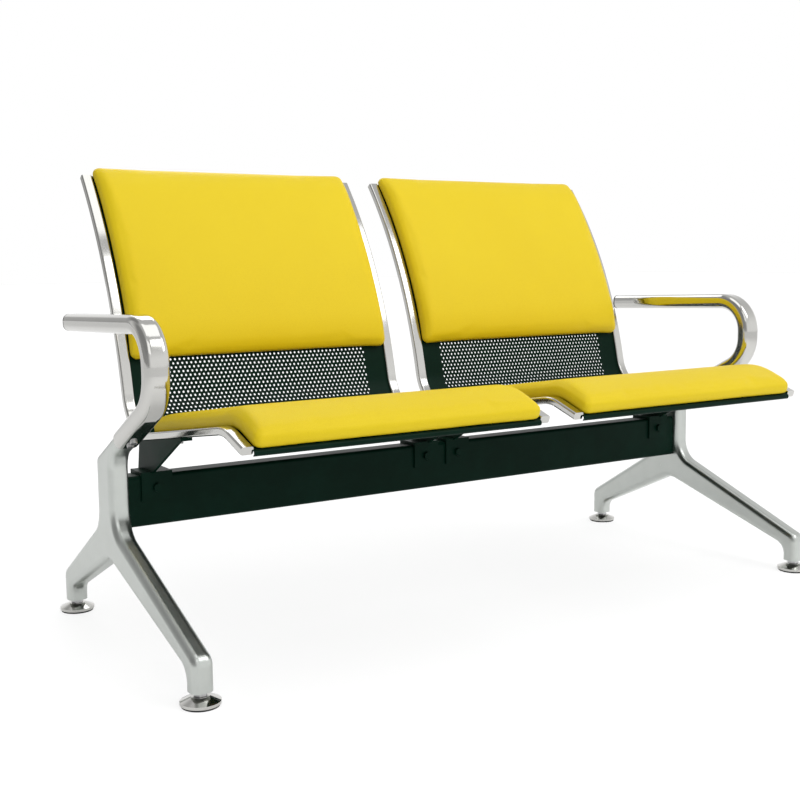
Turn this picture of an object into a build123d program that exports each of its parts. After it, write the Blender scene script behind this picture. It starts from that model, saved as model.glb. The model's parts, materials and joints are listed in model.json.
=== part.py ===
from build123d import *
import os
from math import cos, degrees, radians, sin, tan

# Two-seat beam bench for a waiting room. X runs along the beam, the sitter faces -Y and Z is up.
# The floor is z = 0 and the middle of the bench's box is x = y = 0. Millimetres and degrees.

SIDES = {"left": -1, "right": 1}
same_place = 0.01

# Layout along and across the bench
seat_gap = 50.0
seat_width = 522.0
arm_gap = 34.0
column_y = 46.95

# Beam: rectangular steel tube between the two legs
beam_height = 80.0
beam_depth = 40.0
beam_wall = 2.5
beam_corner = 6.0
beam_bottom_z = 182.0

# Leg: one casting with a column, a sloping neck for the arm, two legs and two ankles
leg_thickness = 32.0
leg_edge_radius = 11.0
column_width = 64.0
column_top_z = 293.0
shoulder_radius = 14.0
neck_rise = 27.6
neck_length = 75.0
neck_thickness = 26.0
neck_radius = 30.0
crotch_z = 136.0
crotch_offset = 8.0
crotch_radius = 40.0
hub_front_z = 184.0
hub_rear_z = 186.0
hub_radius = 45.0
front_reach = 317.0
rear_reach = 208.0
ankle_width = 30.0
front_ankle_top_z = 68.0
front_ankle_inner_z = 46.0
rear_ankle_top_z = 70.0
rear_ankle_inner_z = 44.0
ankle_outer_radius = 18.0
ankle_inner_radius = 22.0

# Spigot: steel block welded to the leg and bolted inside the end of the beam
spigot_length = 70.0
spigot_clearance = 0.3
spigot_bolt_margin = 20.0
spigot_bolt_pitch = 30.0
spigot_bolt_height = 18.0
spigot_bolt_depth = 20.0

# Arm: bent oval tube pushed over the neck's tongue, closed by a plug at its free end
arm_width = 38.0
arm_thickness = 28.0
arm_corner = 11.0
arm_wall = 2.0
arm_front_z = 503.0
arm_rear_z = 493.0
arm_rear_reach = 155.0
arm_front_reach = 195.0
arm_top_bend = 57.0
arm_low_bend = 62.0
tongue_length = 38.0
tongue_clearance = 0.25
arm_screw_first = 12.0
arm_screw_pitch = 16.0
arm_screw_depth = 9.0
plug_flange = 3.0
plug_insert = 14.0
plug_clearance = 0.2

# Levelling feet: rubber sole, steel disc, threaded stud and lock nut
foot_radius = 28.0
foot_rim = 4.0
foot_hub_radius = 13.0
foot_top_z = 13.6
sole_thickness = 3.0
sole_inset = 2.0
stud_radius = 5.0
stud_reach = 38.0
stud_bore_spare = 8.0
socket_floor = 2.0
lock_nut_across_flats = 17.0
lock_nut_height = 6.0
lock_nut_gap = 0.4

# Seat shell's side profile, from the top of the back to the front lip
seat_rear_behind_column = 9.0
seat_rear_z = 317.7
back_radius = 866.0
back_arc_length = 403.0
back_lean_low = 12.0
back_straight = 4.0
bend_radius = 75.0
seat_rise = 8.5
seat_straight = 285.0
fall_radius = 70.0
lip_drop = 19.0
lip_length = 46.0

# Shell: two side rails and a sheet panel with rolled ends
rail_width = 18.0
rail_thickness = 12.0
rail_corner = 3.0
shell_top = 10.0
sheet = 1.5
curl_radius = 4.0
curl_turn = 150.0

# Pads: foam and cover as one soft form, drawn in at the sides and crowned in the middle.
# Each list gives the share of the full height at even steps from the pad's rear end to its front.
pad_side_gap = 1.5
pad_lift = 0.3
pad_edge_height = 19.0
pad_crown_height = 29.0
pad_side_bulge = 3.0
pad_shoulder = 7.0
pad_draw_in = 3.0
pad_root = 4.0
pad_trim = 12.0
back_pad_shares = [0.65, 0.95, 1.0, 1.0, 1.0, 1.0, 1.0, 0.95, 0.7]
seat_pad_shares = [0.9, 1.0, 1.0, 1.0, 1.0, 1.0, 1.0, 1.0, 0.85]
back_pad_length = 352.0
seat_pad_overlap = 6.0
seat_pad_front_margin = -3.0

# Boards inside the pads, with the screws and tee nuts that hold them to the panel
board_thickness = 8.0
board_margin = 18.0
pocket_clearance = 0.3
pad_screw_radius = 3.0
pad_screw_head_radius = 6.0
pad_screw_head = 4.0
pad_screw_spread = 150.0
back_screw_margin = 80.0
seat_screw_first = 70.0
seat_screw_pitch = 130.0
tee_flange_radius = 10.0
tee_flange = 1.5
tee_barrel_radius = 4.5
tee_barrel = 6.5

# Brackets that carry each seat on the beam, their through bolts and rail screws
bracket_length = 156.0
bracket_plate = 5.0
web_rear_reach = 15.0
web_foot_reach = 9.0
saddle_width = 50.0
saddle_plate = 4.0
saddle_depth = 40.0
bolt_drop = 20.0
bolt_radius = 4.0
bolt_across_flats = 13.0
bolt_head = 5.5
bolt_nut = 6.5
bolt_tail = 4.0
rail_screw_radius = 3.0
rail_screw_head_radius = 5.5
rail_screw_head = 3.5
rail_screw_depth = 7.5
rail_screw_first = 40.0
rail_screw_pitch = 80.0

# Clearances shared by every fastener, and how far cuts and tapped holes run on
thread_clearance = 0.1
hole_clearance = 0.25
seat_clearance = 0.15
cut_spare = 1.0
tap_spare = 1.0

# Sizes that follow from the ones above
leg_plane_x = seat_gap / 2 + seat_width + arm_gap + arm_width / 2
leg_inner_x = leg_plane_x - leg_thickness / 2
beam_top_z = beam_bottom_z + beam_height
beam_middle_z = beam_bottom_z + beam_height / 2
beam_front_y = column_y - beam_depth / 2
beam_rear_y = column_y + beam_depth / 2
through_bolt_z = beam_top_z - bolt_drop
saddle_front_y = beam_front_y - saddle_plate
saddle_rear_y = beam_rear_y + saddle_plate
saddle_top_z = beam_top_z + bracket_plate
ankle_bottom_z = foot_top_z + lock_nut_gap + lock_nut_height
foot_y = {"front": column_y - front_reach, "rear": column_y + rear_reach}
seat_centre_x = seat_gap / 2 + seat_width / 2
shell_inner_width = seat_width - 2 * rail_width
pad_width = shell_inner_width - 2 * pad_side_gap
pad_base = sheet / 2 + pad_lift
board_width = pad_width - 2 * board_margin
board_top = pad_base + board_thickness
tee_seat = board_top + seat_clearance
spigot_bolt_z = beam_bottom_z + spigot_bolt_height


def rod(start, direction, radius, length):
    """A cylinder that starts at a point and runs in a direction."""
    place = Plane(origin=start, z_dir=direction)
    return place * Cylinder(radius, length, align=(Align.CENTER, Align.CENTER, Align.MIN))


def hexagon(start, direction, across_flats, length):
    """A hexagonal prism that starts at a point and runs in a direction."""
    place = Plane(origin=start, z_dir=direction)
    return extrude(place * RegularPolygon(across_flats / 2, 6, major_radius=False), length)


def block(x, y, z):
    """A box from three pairs of limits."""
    size = [high - low for low, high in (x, y, z)]
    middle = [(low + high) / 2 for low, high in (x, y, z)]
    return Pos(*middle) * Box(*size)


def slab(face, x_low, x_high):
    """A side view face made solid between two places along the bench."""
    return extrude(Plane.YZ.offset(x_low) * face, x_high - x_low)


def save(name, *shapes):
    """Write one node: a single solid, or a group of separate alike solids."""
    solids = [solid for shape in shapes for solid in shape.solids()]
    export_step(solids[0] if len(solids) == 1 else Compound(solids), f"parts/{name}.step")


class Profile:
    """A side view line of straight and round stretches, measured along it and off its upper side."""

    def __init__(self, heading, stretches):
        self.origin = (0.0, 0.0)
        self.stretches = []
        self.length = 0.0
        place = (0.0, 0.0)
        for length, turn in stretches:
            self.stretches.append((self.length, length, place, heading, turn))
            place = self.step(place, heading, length, turn, length)
            heading += turn
            self.length += length

    @staticmethod
    def step(place, heading, length, turn, distance):
        """Where a stretch that starts at place has got to after a distance."""
        begin = radians(heading)
        if turn == 0:
            return place[0] + distance * cos(begin), place[1] + distance * sin(begin)
        radius = length / radians(turn)
        angle = begin + radians(turn) * distance / length
        y = place[0] + radius * (sin(angle) - sin(begin))
        z = place[1] - radius * (cos(angle) - cos(begin))
        return y, z

    def move_to(self, along, place):
        """Shift the whole line so that the point at a distance along it is at place."""
        here = self.point(along)
        self.origin = tuple(o + p - h for o, p, h in zip(self.origin, place, here))

    def stretch_at(self, along):
        begun = [stretch for stretch in self.stretches if stretch[0] <= along]
        return begun[-1] if begun else self.stretches[0]

    def heading(self, along):
        begin, length, _, heading, turn = self.stretch_at(along)
        return heading + turn * (along - begin) / length

    def normal(self, along):
        """Direction square to the line, on the sitter's side."""
        angle = radians(self.heading(along))
        return sin(angle), -cos(angle)

    def point(self, along, off=0.0):
        begin, length, place, heading, turn = self.stretch_at(along)
        on_line = self.step(place, heading, length, turn, along - begin)
        parts = zip(self.origin, on_line, self.normal(along))
        return tuple(start + moved + off * lean for start, moved, lean in parts)

    def edges(self, first, last, off=0.0):
        """The line between two distances, as straight and round edges in the side view."""
        starts = [stretch[0] for stretch in self.stretches]
        marks = [first, *[start for start in starts if first < start < last], last]
        made = []
        for begin, end in zip(marks, marks[1:]):
            middle = (begin + end) / 2
            if self.stretch_at(middle)[4] == 0:
                made.append(Line(self.point(begin, off), self.point(end, off)))
            else:
                places = [self.point(along, off) for along in (begin, middle, end)]
                made.append(ThreePointArc(*places))
        return made

    def strip(self, first, last, low, high):
        """The band between two heights off the line, as a face in the side view."""
        sides = self.edges(first, last, low) + self.edges(first, last, high)
        ends = [Line(self.point(s, low), self.point(s, high)) for s in (first, last)]
        return make_face(sides + ends)

    def frame(self, x, along, off=0.0):
        """A plane across the line: its own x runs along X and its own y is the normal."""
        angle = radians(self.heading(along))
        ahead = (0, cos(angle), sin(angle))
        return Plane(origin=(x, *self.point(along, off)), x_dir=(1, 0, 0), z_dir=ahead)

    def pin(self, x, along, low, high, radius):
        """A round pin at x, square to the line, from one height off it to another."""
        return rod((x, *self.point(along, low)), (0, *self.normal(along)), radius, high - low)


# The shell's profile, placed by the point where the bend meets the straight seat
seat_heading = 180 - seat_rise
back_heading = 270 - back_lean_low
back_turn = degrees(back_arc_length / back_radius)
bend_turn = seat_heading - back_heading
bend_length = bend_radius * radians(-bend_turn)
fall_turn = seat_rise + lip_drop
fall_length = fall_radius * radians(fall_turn)
shell = Profile(
    back_heading - back_turn,
    [
        (back_arc_length, back_turn),
        (back_straight, 0),
        (bend_length, bend_turn),
        (seat_straight, 0),
        (fall_length, fall_turn),
        (lip_length, 0),
    ],
)
seat_start = back_arc_length + back_straight + bend_length
shell.move_to(seat_start, (column_y + seat_rear_behind_column, seat_rear_z))
back_pad_span = (0.0, back_pad_length)
seat_pad_span = (seat_start - seat_pad_overlap, shell.length - seat_pad_front_margin)


def rail_screw_places(x, outward):
    """The x and the distances along the profile of the two screws under one rail."""
    across = x - outward * (rail_width / 2 - rail_screw_head_radius)
    return [(across, seat_start + rail_screw_first + n * rail_screw_pitch) for n in range(2)]


def pad_screw_places(centre):
    """The x and the distance along the profile of the screws that hold one seat's two pads."""
    alongs = [
        back_pad_span[0] + back_screw_margin,
        back_pad_span[1] - back_screw_margin,
        seat_start + seat_screw_first,
        seat_start + seat_screw_first + seat_screw_pitch,
    ]
    spread = (-pad_screw_spread, pad_screw_spread)
    return [(centre + across, along) for along in alongs for across in spread]


def side_rail(x, outward):
    """Flat steel bar bent to the profile, tapped underneath for its bracket's screws."""
    line = Pos(x, 0, 0) * (Plane.YZ * Wire(shell.edges(shell_top, shell.length)))
    section = shell.frame(x, shell_top) * RectangleRounded(rail_width, rail_thickness, rail_corner)
    body = sweep(section, path=line)
    low = -rail_thickness / 2
    for across, along in rail_screw_places(x, outward):
        radius = rail_screw_radius + thread_clearance
        body -= shell.pin(across, along, low - cut_spare, low + rail_screw_depth + tap_spare, radius)
    return body


def curl(along, heading, turn):
    """The rolled end of the sheet, beyond one end of the profile."""
    roll = Profile(heading, [(curl_radius * radians(curl_turn), turn)])
    roll.move_to(0, shell.point(along))
    return roll.strip(0, roll.length, -sheet / 2, sheet / 2)


def panel(centre):
    """Steel sheet between the rails, rolled at both ends, holed for the pad screws."""
    limits = (centre - shell_inner_width / 2, centre + shell_inner_width / 2)
    body = slab(shell.strip(shell_top, shell.length, -sheet / 2, sheet / 2), *limits)
    body += slab(curl(shell_top, shell.heading(shell_top) + 180, -curl_turn), *limits)
    body += slab(curl(shell.length, shell.heading(shell.length), curl_turn), *limits)
    for x, along in pad_screw_places(centre):
        body -= shell.pin(x, along, -sheet, sheet, pad_screw_radius + hole_clearance)
    return body


def pad_section(width, edge, crown):
    """Cross section of a pad: flat base, bulging sides and a crowned top."""
    half = width / 2 - pad_side_bulge
    top = half - pad_shoulder
    return make_face(
        [
            Line((-half, 0), (half, 0)),
            ThreePointArc((half, 0), (half + pad_side_bulge, edge / 2), (top, edge)),
            ThreePointArc((top, edge), (0, crown), (-top, edge)),
            ThreePointArc((-top, edge), (-half - pad_side_bulge, edge / 2), (-half, 0)),
        ]
    )


def pad(centre, span, shares):
    """Upholstered pad lofted along the profile: thin ends, drawn in between them, flat underneath."""
    first, last = span
    sections = []
    for number, share in enumerate(shares):
        place = number / (len(shares) - 1)
        drawn = pad_draw_in * (1 - abs(2 * place - 1))
        face = pad_section(
            pad_width - 2 * drawn,
            pad_root + pad_edge_height * share,
            pad_root + pad_crown_height * share,
        )
        along = first + place * (last - first)
        sections.append(shell.frame(centre, along, pad_base - pad_root) * face)
    wide = (centre - pad_width, centre + pad_width)
    under = shell.strip(first - pad_root, last + pad_root, pad_base - pad_trim, pad_base)
    margin = board_margin - pocket_clearance
    roof = tee_seat + tee_flange + pocket_clearance
    pocket = shell.strip(first + margin, last - margin, 0, roof)
    half = board_width / 2 + pocket_clearance
    return loft(sections) - slab(under, *wide) - slab(pocket, centre - half, centre + half)


def board(centre, span):
    """Plywood board inside a pad, bored for its tee nuts."""
    face = shell.strip(span[0] + board_margin, span[1] - board_margin, pad_base, board_top)
    body = slab(face, centre - board_width / 2, centre + board_width / 2)
    for x, along in pad_screw_places(centre):
        if span[0] < along < span[1]:
            body -= shell.pin(x, along, 0, 2 * board_top, tee_barrel_radius + seat_clearance)
    return body


def pad_screw(x, along):
    """Pan head screw through the sheet into a tee nut."""
    seat = -sheet / 2 - seat_clearance
    head = shell.pin(x, along, seat - pad_screw_head, seat, pad_screw_head_radius)
    return head + shell.pin(x, along, seat, tee_seat, pad_screw_radius)


def tee_nut(x, along):
    """Tee nut: a flange on the board's far face and a tapped barrel in the board."""
    top = tee_seat + tee_flange
    low = tee_seat - tee_barrel
    body = shell.pin(x, along, tee_seat, top, tee_flange_radius)
    body += shell.pin(x, along, low, tee_seat, tee_barrel_radius)
    return body - shell.pin(x, along, low, top, pad_screw_radius + thread_clearance)


def bracket(x, outward):
    """Black steel bracket: a flange under the rail, an upright web and a saddle over the beam."""
    flange_top = -rail_thickness / 2
    flange_low = flange_top - bracket_plate
    front = seat_start + bracket_length
    rear = seat_start - web_rear_reach
    flange = shell.strip(rear, front, flange_low, flange_top)
    body = slab(flange, x - rail_width / 2, x + rail_width / 2)
    saddle_x = (x - saddle_width / 2, x + saddle_width / 2)
    body += block(saddle_x, (saddle_front_y, saddle_rear_y), (beam_top_z - saddle_depth, saddle_top_z))
    body -= block(saddle_x, (beam_front_y, beam_rear_y), (beam_bottom_z, beam_top_z))
    inside = flange_low + bracket_plate / 2
    web_low_z = beam_top_z + bracket_plate / 2
    corners = [
        shell.point(rear, inside),
        shell.point(seat_start, inside),
        shell.point(front, inside),
        (saddle_front_y, web_low_z),
        (saddle_rear_y + web_foot_reach, web_low_z),
    ]
    edge = x + outward * rail_width / 2
    web = make_face(Polyline(*corners, close=True))
    body += slab(web, *sorted((edge, edge - outward * bracket_plate)))
    for across, along in rail_screw_places(x, outward):
        radius = rail_screw_radius + hole_clearance
        body -= shell.pin(across, along, flange_low - cut_spare, flange_top + cut_spare, radius)
    through = (x, saddle_front_y - cut_spare, through_bolt_z)
    span = saddle_rear_y - saddle_front_y + 2 * cut_spare
    return body - rod(through, (0, 1, 0), bolt_radius + hole_clearance, span)


def rail_screw(x, along):
    """Button head screw through a bracket's flange into the rail above it."""
    seat = -rail_thickness / 2 - bracket_plate
    head = shell.pin(x, along, seat - rail_screw_head, seat, rail_screw_head_radius)
    tip = -rail_thickness / 2 + rail_screw_depth
    return head + shell.pin(x, along, seat, tip, rail_screw_radius)


def bracket_bolt(x):
    """Hexagon bolt from the front tab through the beam."""
    start = (x, saddle_front_y, through_bolt_z)
    length = saddle_rear_y - saddle_front_y + bolt_nut + bolt_tail
    shank = rod(start, (0, 1, 0), bolt_radius, length)
    return shank + hexagon(start, (0, -1, 0), bolt_across_flats, bolt_head)


def bracket_nut(x):
    """Hexagon nut behind the beam."""
    start = (x, saddle_rear_y, through_bolt_z)
    nut = hexagon(start, (0, 1, 0), bolt_across_flats, bolt_nut)
    return nut - rod(start, (0, 1, 0), bolt_radius + thread_clearance, bolt_nut)


def spigot_bolt_places(side):
    """The x of the two bolts that hold one spigot in the beam."""
    first = leg_inner_x - spigot_bolt_margin
    return [side * (first - n * spigot_bolt_pitch) for n in range(2)]


def beam(bracket_places):
    """Rectangular tube, bored for the bracket bolts and, behind, for the spigot bolts."""
    outer = RectangleRounded(beam_depth, beam_height, beam_corner)
    inner_corner = beam_corner - beam_wall
    inner = RectangleRounded(beam_depth - 2 * beam_wall, beam_height - 2 * beam_wall, inner_corner)
    body = slab(Pos(column_y, beam_middle_z) * (outer - inner), -leg_inner_x, leg_inner_x)
    radius = bolt_radius + hole_clearance
    for x in bracket_places:
        body -= rod((x, saddle_front_y, through_bolt_z), (0, 1, 0), radius, 2 * beam_depth)
    for side in SIDES.values():
        for x in spigot_bolt_places(side):
            body -= rod((x, column_y, spigot_bolt_z), (0, 1, 0), radius, beam_depth)
    return body


def spigot(side, bracket_places):
    """Steel block inside the beam's end, tapped for its bolts and cleared for a bracket's bolt."""
    inset = 2 * (beam_wall + spigot_clearance)
    corner = beam_corner - beam_wall
    section = RectangleRounded(beam_depth - inset, beam_height - inset, corner)
    limits = sorted((side * leg_inner_x, side * (leg_inner_x - spigot_length)))
    body = slab(Pos(column_y, beam_middle_z) * section, *limits)
    for x in bracket_places:
        radius = bolt_radius + hole_clearance
        body -= rod((x, beam_front_y, through_bolt_z), (0, 1, 0), radius, beam_depth)
    for x in spigot_bolt_places(side):
        start = (x, beam_rear_y, spigot_bolt_z)
        depth = beam_wall + spigot_bolt_depth + tap_spare
        body -= rod(start, (0, -1, 0), bolt_radius + thread_clearance, depth)
    return body


def spigot_bolt(x):
    """Hexagon bolt through the beam's rear wall into a spigot."""
    start = (x, beam_rear_y, spigot_bolt_z)
    shank = rod(start, (0, -1, 0), bolt_radius, beam_wall + spigot_bolt_depth)
    return shank + hexagon(start, (0, 1, 0), bolt_across_flats, bolt_head)


# The neck's middle line in the side view, which the lower end of the arm carries on
neck_ahead = (-cos(radians(neck_rise)), sin(radians(neck_rise)))
neck_square = (sin(radians(neck_rise)), cos(radians(neck_rise)))


def neck_point(along, off=0.0):
    """A point on the neck, by its distance from the column's middle line and its height off its own."""
    y = column_y + along * neck_ahead[0] + off * neck_square[0]
    z = column_top_z + along * neck_ahead[1] + off * neck_square[1]
    return y, z


def neck_edge_at(y, off):
    """The point at y on the neck's upper or lower edge."""
    along = (column_y + off * neck_square[0] - y) / -neck_ahead[0]
    return neck_point(along, off)


def leg_outline():
    """The leg's side view corners, each with the radius that rounds it."""
    column_front = column_y - column_width / 2
    column_rear = column_y + column_width / 2
    half_neck = neck_thickness / 2
    half_ankle = ankle_width / 2
    front = foot_y["front"]
    rear = foot_y["rear"]
    return [
        (neck_point(neck_length, half_neck), 0),
        (neck_edge_at(column_rear, half_neck), shoulder_radius),
        ((column_rear, hub_rear_z), hub_radius),
        ((rear + half_ankle, rear_ankle_top_z), ankle_outer_radius),
        ((rear + half_ankle, ankle_bottom_z), 0),
        ((rear - half_ankle, ankle_bottom_z), 0),
        ((rear - half_ankle, rear_ankle_inner_z), ankle_inner_radius),
        ((column_y - crotch_offset, crotch_z), crotch_radius),
        ((front + half_ankle, front_ankle_inner_z), ankle_inner_radius),
        ((front + half_ankle, ankle_bottom_z), 0),
        ((front - half_ankle, ankle_bottom_z), 0),
        ((front - half_ankle, front_ankle_top_z), ankle_outer_radius),
        ((column_front, hub_front_z), hub_radius),
        (neck_edge_at(column_front, -half_neck), neck_radius),
        (neck_point(neck_length, -half_neck), 0),
    ]


def neck_frame(x, along):
    """A plane across the neck: its own x runs along X."""
    return Plane(origin=(x, *neck_point(along)), x_dir=(1, 0, 0), z_dir=(0, *neck_ahead))


def arm_screw_places():
    """Distances along the neck of the screws that hold the arm on its tongue."""
    return [neck_length + arm_screw_first + n * arm_screw_pitch for n in range(2)]


def arm_screw_cut(x, along, radius, depth):
    """A pin from the arm's underside up into the tongue."""
    start = (x, *neck_point(along, -arm_thickness / 2))
    return rod(start, (0, *neck_square), radius, depth)


def leg(x):
    """Leg casting with the arm's tongue, tapped for its screws and for the two foot studs."""
    corners, radii = zip(*leg_outline())
    face = make_face(FilletPolyline(*corners, radius=list(radii), close=True))
    body = slab(face, x - leg_thickness / 2, x + leg_thickness / 2)
    flats = [body.faces().sort_by(Axis.X)[0], body.faces().sort_by(Axis.X)[-1]]
    open_ends = [neck_point(neck_length)[1], ankle_bottom_z]
    rims = [edge for flat in flats for edge in flat.edges()]
    rims = [edge for edge in rims if min(abs(edge.center().Z - z) for z in open_ends) > same_place]
    body = fillet(rims, leg_edge_radius)
    tongue_inset = 2 * (arm_wall + tongue_clearance)
    tongue = RectangleRounded(
        arm_width - tongue_inset, arm_thickness - tongue_inset, arm_corner - arm_wall
    )
    body += extrude(neck_frame(x, neck_length) * tongue, tongue_length)
    screw_bore = rail_screw_radius + thread_clearance
    screw_depth = arm_wall + arm_screw_depth + tap_spare
    for along in arm_screw_places():
        body -= arm_screw_cut(x, along, screw_bore, screw_depth)
    for y in foot_y.values():
        depth = stud_reach + stud_bore_spare
        body -= rod((x, y, ankle_bottom_z), (0, 0, 1), stud_radius + thread_clearance, depth)
    return body


def arm_line(x):
    """The arm's middle line, from its free rear end round the front bend to the neck."""
    front_y = column_y - arm_front_reach
    low_corner_z = column_top_z + arm_front_reach * tan(radians(neck_rise))
    return FilletPolyline(
        (x, column_y + arm_rear_reach, arm_rear_z),
        (x, front_y, arm_front_z),
        (x, front_y, low_corner_z),
        (x, *neck_point(neck_length)),
        radius=[arm_top_bend, arm_low_bend],
    )


def arm(x):
    """Bent oval tube, holed underneath for its two screws."""
    line = arm_line(x)
    start = Plane(origin=line @ 0, x_dir=(1, 0, 0), z_dir=line % 0)
    outer = RectangleRounded(arm_width, arm_thickness, arm_corner)
    inner = RectangleRounded(
        arm_width - 2 * arm_wall, arm_thickness - 2 * arm_wall, arm_corner - arm_wall
    )
    body = sweep(start * outer, path=line) - sweep(start * inner, path=line)
    for along in arm_screw_places():
        body -= arm_screw_cut(x, along, rail_screw_radius + hole_clearance, arm_wall + cut_spare)
    return body


def arm_screw(x, along):
    """Button head screw that holds the arm on its tongue."""
    seat = (x, *neck_point(along, -arm_thickness / 2))
    back = tuple(-part for part in neck_square)
    head = rod(seat, (0, *back), rail_screw_head_radius, rail_screw_head)
    return head + arm_screw_cut(x, along, rail_screw_radius, arm_wall + arm_screw_depth)


def arm_plug(x):
    """Plastic plug that closes the arm's free end."""
    line = arm_line(x)
    end = Plane(origin=line @ 0, x_dir=(1, 0, 0), z_dir=-(line % 0))
    inset = 2 * (arm_wall + plug_clearance)
    body = extrude(end * RectangleRounded(arm_width, arm_thickness, arm_corner), plug_flange)
    insert = RectangleRounded(arm_width - inset, arm_thickness - inset, arm_corner - arm_wall)
    return body + extrude(end * insert, -plug_insert)


def foot_disc(x, y):
    """Round steel foot: a rim, a cone up to the hub and a socket for the stud."""
    rim_top = sole_thickness + foot_rim
    outline = Polyline(
        (0, sole_thickness),
        (foot_radius, sole_thickness),
        (foot_radius, rim_top),
        (foot_hub_radius, foot_top_z),
        (0, foot_top_z),
        close=True,
    )
    body = Pos(x, y, 0) * revolve(Plane.XZ * make_face(outline), Axis.Z)
    floor_z = sole_thickness + socket_floor
    return body - rod((x, y, floor_z), (0, 0, 1), stud_radius + thread_clearance, foot_top_z)


def foot_sole(x, y):
    """Rubber sole under the foot, set in from its rim."""
    return rod((x, y, 0), (0, 0, 1), foot_radius - sole_inset, sole_thickness)


def foot_stud(x, y):
    """Threaded stud from the foot's socket up into the ankle."""
    floor_z = sole_thickness + socket_floor + seat_clearance
    return rod((x, y, floor_z), (0, 0, 1), stud_radius, ankle_bottom_z + stud_reach - floor_z)


def lock_nut(x, y):
    """Thin nut that jams the stud against the ankle."""
    start = (x, y, ankle_bottom_z - lock_nut_height)
    nut = hexagon(start, (0, 0, 1), lock_nut_across_flats, lock_nut_height)
    return nut - rod(start, (0, 0, 1), stud_radius + thread_clearance, lock_nut_height)


def rail_places(centre):
    """The x and outward direction of one seat's two rails, by name, outer one first."""
    outward = 1 if centre > 0 else -1
    reach = seat_width / 2 - rail_width / 2
    return {
        "outer": (centre + outward * reach, outward),
        "inner": (centre - outward * reach, -outward),
    }


os.makedirs("parts", exist_ok=True)
seat_centres = {name: side * seat_centre_x for name, side in SIDES.items()}
rails = {
    f"{seat}_{place}": spot
    for seat, centre in seat_centres.items()
    for place, spot in rail_places(centre).items()
}
bracket_places = [x for x, _ in rails.values()]

save("beam_tube", beam(bracket_places))
save("spigot_bolts", *[spigot_bolt(x) for s in SIDES.values() for x in spigot_bolt_places(s)])
save("bracket_bolts", *[bracket_bolt(x) for x in bracket_places])
save("bracket_nuts", *[bracket_nut(x) for x in bracket_places])

for name, side in SIDES.items():
    x = side * leg_plane_x
    save(f"leg_{name}", leg(x))
    save(f"arm_{name}", arm(x))
    save(f"arm_plug_{name}", arm_plug(x))
    save(f"arm_screws_{name}", *[arm_screw(x, along) for along in arm_screw_places()])
    save(f"beam_spigot_{name}", spigot(side, [b for b in bracket_places if b * side > seat_centre_x]))
    for end, y in foot_y.items():
        save(f"foot_disc_{end}_{name}", foot_disc(x, y))
        save(f"foot_sole_{end}_{name}", foot_sole(x, y))
        save(f"foot_stud_{end}_{name}", foot_stud(x, y))
save(
    "foot_lock_nuts",
    *[lock_nut(side * leg_plane_x, y) for side in SIDES.values() for y in foot_y.values()],
)

for name, (x, outward) in rails.items():
    save(f"side_rail_{name}", side_rail(x, outward))
    save(f"bracket_{name}", bracket(x, outward))
save(
    "rail_screws",
    *[rail_screw(*spot) for place in rails.values() for spot in rail_screw_places(*place)],
)

for name, centre in seat_centres.items():
    save(f"seat_panel_{name}", panel(centre))
    save(f"back_pad_{name}", pad(centre, back_pad_span, back_pad_shares))
    save(f"back_board_{name}", board(centre, back_pad_span))
    save(f"seat_pad_{name}", pad(centre, seat_pad_span, seat_pad_shares))
    save(f"seat_board_{name}", board(centre, seat_pad_span))
    save(f"pad_screws_{name}", *[pad_screw(*spot) for spot in pad_screw_places(centre)])
    save(f"tee_nuts_{name}", *[tee_nut(*spot) for spot in pad_screw_places(centre)])
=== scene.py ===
# %% [markdown]
# # A two-seat waiting room bench
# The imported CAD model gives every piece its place. This lesson dresses it: the camera and the
# light first, then the finishes, then the pieces that need a finer or softer shape than the CAD
# solids have. Everything is in metres: X along the beam, the sitter looks to -Y, Z is up.

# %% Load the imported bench
import json
import math

import bmesh
import bpy
import numpy as np
from mathutils import Matrix, Vector


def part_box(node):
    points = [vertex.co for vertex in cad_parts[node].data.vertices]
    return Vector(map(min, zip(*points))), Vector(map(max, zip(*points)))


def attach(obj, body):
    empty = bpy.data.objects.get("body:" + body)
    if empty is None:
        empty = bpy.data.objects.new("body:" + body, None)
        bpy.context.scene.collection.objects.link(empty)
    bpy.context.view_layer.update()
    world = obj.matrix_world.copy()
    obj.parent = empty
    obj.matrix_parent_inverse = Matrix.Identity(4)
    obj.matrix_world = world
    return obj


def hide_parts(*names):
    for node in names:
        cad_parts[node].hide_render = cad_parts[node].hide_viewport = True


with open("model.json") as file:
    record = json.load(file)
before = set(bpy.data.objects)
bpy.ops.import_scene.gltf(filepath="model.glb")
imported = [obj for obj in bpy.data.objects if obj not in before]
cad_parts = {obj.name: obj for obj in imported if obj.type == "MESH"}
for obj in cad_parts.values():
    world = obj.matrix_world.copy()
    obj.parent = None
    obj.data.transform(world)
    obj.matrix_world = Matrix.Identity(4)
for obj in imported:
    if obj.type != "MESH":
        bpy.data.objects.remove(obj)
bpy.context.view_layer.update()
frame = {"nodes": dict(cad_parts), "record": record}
nodes = frame["nodes"]
scene = bpy.context.scene
SIDES = {"left": -1, "right": 1}

# %% [markdown]
# ## Camera
# A camera can be aimed by eye, or worked out from points that are known both on the object and in
# the picture. Here it was worked out: it stands at the front left, a little above the seats, and
# looks slightly down. Its axes are written as a matrix, because yaw, pitch and roll are known.

# %% Camera
camera_place = Vector((-1.1902, -1.68415, 0.5882))
camera_yaw = math.radians(32.8194)
camera_pitch = math.radians(6.8166)
camera_roll = math.radians(-0.5808)
sensor = 36.0
focal_share = 1172.5 / 800

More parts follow.
